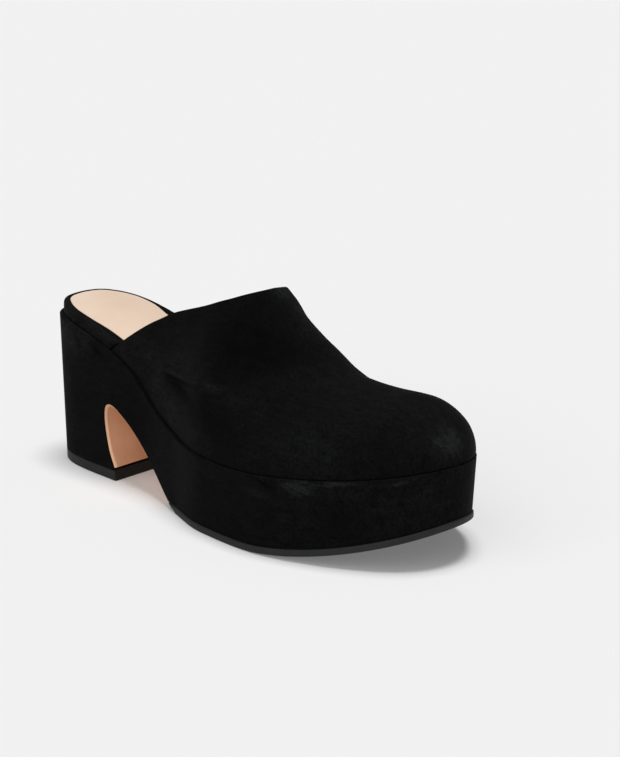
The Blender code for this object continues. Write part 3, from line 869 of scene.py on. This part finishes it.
def cover_row(line, share, proud):
    """Points across the cover at each place of its side view."""
    x, z = line[:, 0], line[:, 1]
    lean = 1.0 - (z - spring(x)) / (seat(x) - spring(x))
    at = x / LENGTH
    at = at - HEEL_RAKE * lean * (1.0 - ramp(at, 0.0, HEEL_PART)) / LENGTH
    _, lateral, medial = wall(at, lean, COVER_INSET - proud)
    y = -lateral[:, None] + (lateral + medial)[:, None] * share[None]
    return np.stack([x[:, None] + 0.0 * y, y, z[:, None] + 0.0 * y], axis=-1)


share = np.concatenate([[0.0, 0.004], np.linspace(0.02, 0.98, 24), [0.996, 1.0]])
near_rows = cover_row(line_near, share, 0.0)
far_rows = cover_row(line_far, share[::-1], -COVER_SKIVE)
loops = np.concatenate([near_rows, far_rows, near_rows[:, :1]], axis=1)
first, last = (np.repeat(loops[k].mean(axis=0)[None, None], loops.shape[1], axis=1)
               for k in (0, -1))
rows = np.concatenate([first, loops, last])
# Painted shade on the cover: darker higher under the waist and deeper into the arch.
inward = ramp(np.concatenate([share, share[::-1], share[:1]]), *INWARD_SHADE_SHARES)
painted_shade = COVER_PAINTED_SHADE[0] * ramp(rows[..., 2], *ARCH_SHADE_HEIGHTS) + COVER_PAINTED_SHADE[1] * inward[None, :]
waist_leather = lay("waist_leather", rows, painted_shade)
finish_piece(waist_leather, LEATHER_ANGLE)

# %% [markdown]
# ## Rubber underfoot
# A dark outsole, thinned to a feather edge at the arch, and a harder top lift under the heel.
# The outsole's tread has shallow cross grooves inside a plain border, as such soles usually have,
# pressed into the underside of its parcel.

# %% Outsole
GROOVE_PITCH = 0.0062
GROOVE_WIDTH = 0.0016
GROOVE_DEPTH = 0.0006
GROOVE_FLANK = 0.0005
GROOVE_BEND = 0.003
GROOVE_SWEEP = 0.030
GROOVED = (0.50, 0.93)
GROOVE_FADE = 0.004
TREAD_BORDER = 0.0085
BORDER_FADE = 0.0006
OUTSOLE_START = 0.402
OUTSOLE_SIDE = (
    # height, inset
    (0.0, 0.0006), (0.0002, 0.0002), (0.0006, 0.0), (0.0028, 0.0), (0.0032, 0.0002),
    (OUTSOLE_THICKNESS, 0.0005),
)


def grooves(x, y):
    """Height of the tread's cross grooves, which stay inside a plain border."""
    bend = GROOVE_BEND * np.cos(y / GROOVE_SWEEP)
    phase = np.abs(((x + bend) / GROOVE_PITCH) % 1.0 - 0.5) * GROOVE_PITCH
    at = x / LENGTH
    edge = np.minimum(half_width("lateral", at) + y, half_width("medial", at) - y)
    ends = ramp(at, GROOVED[0], GROOVE_FADE) * ramp(GROOVED[1] - at, 0.0, GROOVE_FADE)
    depth = GROOVE_DEPTH * ramp(GROOVE_WIDTH / 2.0 - phase, 0.0, GROOVE_FLANK)
    return depth * ramp(edge, TREAD_BORDER, BORDER_FADE) * ends


u = stations(OUTSOLE_START, 1.0, 300)
levels = wall_levels(u, 1.0, spring, [(inset - OUTSOLE_LIP, z) for z, inset in OUTSOLE_SIDE])
outsole_rubber = parcel("outsole_rubber", levels, across=60, tread=grooves)
finish_piece(outsole_rubber, RUBBER_ANGLE, arched=True)

# %% Top lift
LIFT_SIDE = ((0.0, 0.0005), (0.0002, 0.0001), (0.0005, 0.0), (0.005, 0.0), (LIFT_THICKNESS, 0.0003))
u = stations(0.0, 0.3, 110)
levels = []
for z, inset in LIFT_SIDE:
    x, lateral, medial = wall(u, 1.0 - z / HEEL_HEIGHT, inset)
    levels.append((x, lateral, medial, np.full(len(x), z)))
lift_rubber = parcel("lift_rubber", levels, across=3)
finish_piece(lift_rubber, RUBBER_ANGLE, arched=True)

# %% [markdown]
# ## Materials
# Colours are written as sRGB hex values and turned to linear by one function. Patterns are sized
# in millimetres: Blender's noise has one feature per unit at scale 1, and our unit is a metre, so
# a feature of one millimetre needs a scale of 1000.

# %% Helpers for materials


def linear(hex_colour):
    """Linear RGBA from an sRGB hex value."""
    parts = [int(hex_colour[i:i + 2], 16) / 255.0 for i in (1, 3, 5)]
    parts = [p / 12.92 if p <= 0.04045 else ((p + 0.055) / 1.055) ** 2.4 for p in parts]
    return (*parts, 1.0)


def per_mm(size):
    """Texture scale for features of a size in millimetres."""
    return 1000.0 / size


def fill(tree, node, inputs):
    """Set or link a node's inputs."""
    for key, value in inputs.items():
        if isinstance(value, bpy.types.NodeSocket):
            tree.links.new(value, node.inputs[key])
        else:
            node.inputs[key].default_value = value


def add(tree, kind, inputs=None, **settings):
    """One node with its settings, and its inputs set or linked."""
    node = tree.nodes.new("ShaderNode" + kind)
    for key, value in settings.items():
        setattr(node, key, value)
    fill(tree, node, inputs or {})
    return node


def object_place(tree):
    return add(tree, "TexCoord").outputs["Object"]


def nap_and_shade_value(tree):
    """The nap attribute: nap patches with painted highlight and shade, and the cover's painted
    shade.
    """
    return add(tree, "Attribute", attribute_name="nap", attribute_type="GEOMETRY").outputs["Fac"]


def noise(tree, place, size, detail, roughness=0.5, distortion=0.0):
    """Noise with features of a size in millimetres."""
    node = add(tree, "TexNoise", {
        "Vector": place, "Scale": per_mm(size), "Detail": detail, "Roughness": roughness,
        "Distortion": distortion})
    return node.outputs["Fac"]


def remap(tree, value, low, high, start, end):
    """A value between low and high, brought to between start and end."""
    return add(tree, "MapRange", {
        "Value": value, "From Min": low, "From Max": high, "To Min": start,
        "To Max": end}).outputs[0]


def compute(tree, how, *values, clamp=False):
    """A sum, a product or a product with something added."""
    node = add(tree, "Math", dict(enumerate(values)), operation=how, use_clamp=clamp)
    return node.outputs[0]


def mix(tree, share, first, second):
    """A colour between two colours."""
    return add(tree, "Mix", {0: share, 6: first, 7: second}, data_type="RGBA").outputs[2]


def bump(tree, height, strength, distance, normal=None):
    """A bent normal, from a height and after another bump."""
    node = add(tree, "Bump", {"Height": height, "Strength": strength, "Distance": distance})
    if normal is not None:
        tree.links.new(normal, node.inputs["Normal"])
    return node.outputs["Normal"]


def new_material(name):
    """An empty node material, its tree and its shader."""
    material = bpy.data.materials.new(name)
    material.use_nodes = True
    return material, material.node_tree, material.node_tree.nodes["Principled BSDF"]


print("black suede is linear", [round(c, 4) for c in linear("#101011")])

# %% [markdown]
# ### Black suede
# Suede is the flesh side of a hide, sanded to a short nap. Almost all light is lost between the
# fibres, so it is nearly black face on and greyer where we look along it: a dark rough base with a
# little sheen. Noise at three sizes gives the nap: fibre tufts (drawn at 1.3 mm, as the real ones
# of 0.2 mm would not show), hand strokes, and broad clouds. The nap attribute adds the listed
# patches and the folds' shade, partly the nap's lie and partly painted highlight and shade, and
# tufts and strokes show more where it is paler.

# %% Suede material
NAP_AND_SHADE_GAIN = 0.32


def suede(name, seed):
    """Black suede; the seed moves its pattern, so that no two pieces are alike."""
    material, tree, shader = new_material(name)
    place = add(tree, "Mapping", {
        "Vector": object_place(tree), "Location": (seed, 0.3 * seed, 0.0)}).outputs["Vector"]
    slanted = add(tree, "Mapping", {
        "Vector": place, "Rotation": (0.2, 0.35, 0.4), "Scale": (0.35, 1.0, 1.0)})
    tufts = noise(tree, place, 1.3, 4.0, 0.7)
    strokes = noise(tree, slanted.outputs["Vector"], 2.6, 3.0, 0.6, 0.4)
    clouds = noise(tree, place, 9.0, 3.0, 0.6)
    # The nap attribute brings the nap's patches and also painted highlight and shade.
    uneven = remap(tree, clouds, 0.35, 0.65, 0.55, 1.45)
    uneven_nap_and_shade = compute(tree, "MULTIPLY", nap_and_shade_value(tree), uneven)
    fine = compute(tree, "ADD", remap(tree, tufts, 0.3, 0.7, -0.75, 0.75),
                   remap(tree, strokes, 0.3, 0.7, -0.40, 0.40))
    ground = remap(tree, clouds, 0.35, 0.65, 0.165, 0.225)
    broad = compute(tree, "MULTIPLY_ADD", uneven_nap_and_shade, NAP_AND_SHADE_GAIN, ground, clamp=True)
    shade = compute(tree, "MULTIPLY_ADD", broad, fine, broad, clamp=True)
    fill(tree, shader, {
        "Base Color": mix(tree, shade, linear("#030303"), linear("#202121")),
        "Normal": bump(tree, strokes, 0.25, 0.0008, bump(tree, tufts, 0.35, 0.0004)),
        "Roughness": 0.95, "Specular IOR Level": 0.06, "Sheen Weight": 0.035,
        "Sheen Roughness": 0.35, "Sheen Tint": linear("#c8c8cc"),
    })
    return material


upper_finish = suede("black_suede_upper", 0.0)
block_finish = suede("black_suede_block", 1.7)
rand_finish = suede("black_suede_rand", 3.1)
print("suede for the upper, the block and the rand")

# %% [markdown]
# ### Leathers
# The insole and the lining are pale vegetable-tinted leather with a fine smooth grain and a faint
# cloudiness; the cover under the arch is tan leather, a little glossier, with painted shade that
# makes it browner up in the arch and towards the middle of the shoe, where its nap attribute says
# so. Leather grain is cells about half a millimetre wide, drawn at twice that so that it shows.

# %% Leather materials
LEATHER_GRAIN = 1.0


def leather(name, pale, deep, roughness, cloud_mm, shade_colour=None):
    """Smooth leather; its last colour, if given, is painted shade where the nap attribute is 1."""
    material, tree, shader = new_material(name)
    place = object_place(tree)
    cells = add(tree, "TexVoronoi", {"Vector": place, "Scale": per_mm(LEATHER_GRAIN)},
                feature="F1")
    pores = noise(tree, place, 0.6 * LEATHER_GRAIN, 2.0)
    cloud = remap(tree, noise(tree, place, cloud_mm, 4.0, 0.55), 0.3, 0.7, 0.0, 1.0)
    colour = mix(tree, cloud, linear(pale), linear(deep))
    # Painted shade: the shade colour is mixed in where the nap attribute says so.
    if shade_colour is not None:
        colour = mix(tree, nap_and_shade_value(tree), colour, linear(shade_colour))
    fill(tree, shader, {
        "Base Color": colour,
        "Roughness": remap(tree, pores, 0.0, 1.0, roughness - 0.06, roughness + 0.08),
        "Normal": bump(tree, cells.outputs["Distance"], 0.10, 0.0002),
        "Specular IOR Level": 0.4,
    })
    return material


insole_finish = leather("nude_leather_insole", "#f2dbc5", "#ebd0b9", 0.55, 26.0)
lining_finish = leather("nude_leather_lining", "#dcb694", "#cda582", 0.60, 22.0)
# The cover's last colour, a brown, is its painted shade up in the arch and towards the middle.
cover_finish = leather("tan_leather_cover", "#fdcfab", "#f5bf98", 0.45, 18.0, "#b5713f")
print("leather for the insole, the lining and the cover")

# %% [markdown]
# ### Rubber
# Moulded rubber is matt, dark grey for the outsole and near black for the top lift, with a fine
# scuffed tooth.

# %% Rubber materials


def rubber(name, pale, deep, roughness):
    material, tree, shader = new_material(name)
    place = object_place(tree)
    scuffs = noise(tree, place, 7.0, 5.0, 0.6)
    fill(tree, shader, {
        "Base Color": mix(tree, scuffs, linear(pale), linear(deep)),
        "Roughness": remap(tree, scuffs, 0.0, 1.0, roughness - 0.1, roughness + 0.1),
        "Normal": bump(tree, noise(tree, place, 0.6, 2.0), 0.15, 0.0002),
        "Specular IOR Level": 0.25,
    })
    return material


outsole_finish = rubber("moulded_rubber_outsole", "#292a2a", "#212222", 0.65)
lift_finish = rubber("hard_rubber_top_lift", "#212122", "#19191a", 0.6)
print("rubber for the outsole and the lift")

# %% [markdown]
# ## Dressing the frame
# Every piece takes its finish, rides on the one body, and stands for the solid it refines. The
# solid stays in the model for collision but is not shown.

# %% Assign, ride and replace
DRESSED = (
    (upper_suede, upper_finish, "upper_suede", "upper"),
    (upper_lining, lining_finish, "insole_leather", "upper"),
    (block_wrap, block_finish, "block_suede", "sole_block"),
    (footbed_rand, rand_finish, "rand_suede", "footbed"),
    (insole_sock, insole_finish, "insole_leather", "insole"),
    (waist_leather, cover_finish, "cover_leather", "waist_cover"),
    (outsole_rubber, outsole_finish, "outsole_rubber", "outsole"),
    (lift_rubber, lift_finish, "lift_rubber", "top_lift"),
)
for piece, finish, slot_name, node in DRESSED:
    piece.data.materials.clear()
    piece.data.materials.append(finish)
    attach(piece, "root")
    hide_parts(node)
    print(piece.name, "stands for", node)

# %% [markdown]
# ## Studio
# A plain pale floor past the picture's edges gives the seamless ground of a product photograph. A
# weak world and a faint glow of the paper fill the shade. A broad lamp straight above draws the
# short soft shadow round the tread, and a weaker one in front lifts the outer side.

# %% Floor and lights
FLOOR_SIZE = 20.0
WHITE = (1.0, 1.0, 1.0, 1.0)
bm = bmesh.new()
bmesh.ops.create_grid(bm, x_segments=1, y_segments=1, size=FLOOR_SIZE)
floor = as_object(bm, "floor")
paper, tree, shader = new_material("matt_paper_floor")
fill(tree, shader, {
    "Base Color": linear("#e1e1e1"), "Emission Color": WHITE, "Emission Strength": 0.15,
    "Roughness": 1.0, "Specular IOR Level": 0.0})
floor.data.materials.append(paper)

world = bpy.data.worlds.new("studio")
world.use_nodes = True
fill(world.node_tree, world.node_tree.nodes["Background"], {"Color": WHITE, "Strength": 0.10})
bpy.context.scene.world = world


def soft_lamp(name, place, spread, strength):
    """A lamp so far away that it lights the floor evenly; spread is its angle in degrees."""
    data = bpy.data.lights.new(name, "SUN")
    data.angle = math.radians(spread)
    data.energy = strength
    lamp = in_scene(name, data)
    aim = (-Vector(place)).to_track_quat("-Z", "Y")
    lamp.matrix_world = Matrix.Translation(place) @ aim.to_matrix().to_4x4()
    return lamp


key_lamp = soft_lamp("key_lamp", (0.09, 0.03, 1.7), 24.0, 2.25)
front_lamp = soft_lamp("front_lamp", (0.1, -1.8, 1.3), 70.0, 0.85)
print("lamps:", key_lamp.name, front_lamp.name)

# %% [markdown]
# ## Camera
# The camera was fitted to the photograph: it looks from the outer side and the front, 16 degrees
# above the floor, through a long lens, rolled by about one degree.

# %% Camera
AZIMUTH = math.radians(40.219)
ELEVATION = math.radians(16.010)
ROLL = math.radians(1.246)
DISTANCE = 0.939
FOCAL_PIXELS = 2035.6
IMAGE_HEIGHT = 757.0
SENSOR = 36.0
TARGET = Vector((0.03325, SHIFT, 0.068086))
back = Vector((math.sin(AZIMUTH) * math.cos(ELEVATION),
               -math.cos(AZIMUTH) * math.cos(ELEVATION), math.sin(ELEVATION)))
right = Vector((math.cos(AZIMUTH), math.sin(AZIMUTH), 0.0))
level = Matrix((right, back.cross(right), back)).transposed()
camera_data = bpy.data.cameras.new("camera")
camera_data.sensor_width = SENSOR
camera_data.lens = SENSOR * FOCAL_PIXELS / IMAGE_HEIGHT
camera = in_scene("camera", camera_data)
turn = level @ Matrix.Rotation(ROLL, 3, "Z")
camera.matrix_world = Matrix.Translation(TARGET + DISTANCE * back) @ turn.to_4x4()
bpy.context.scene.camera = camera
bpy.context.scene.view_settings.view_transform = "Standard"
print("lens", round(camera_data.lens, 1), "mm")
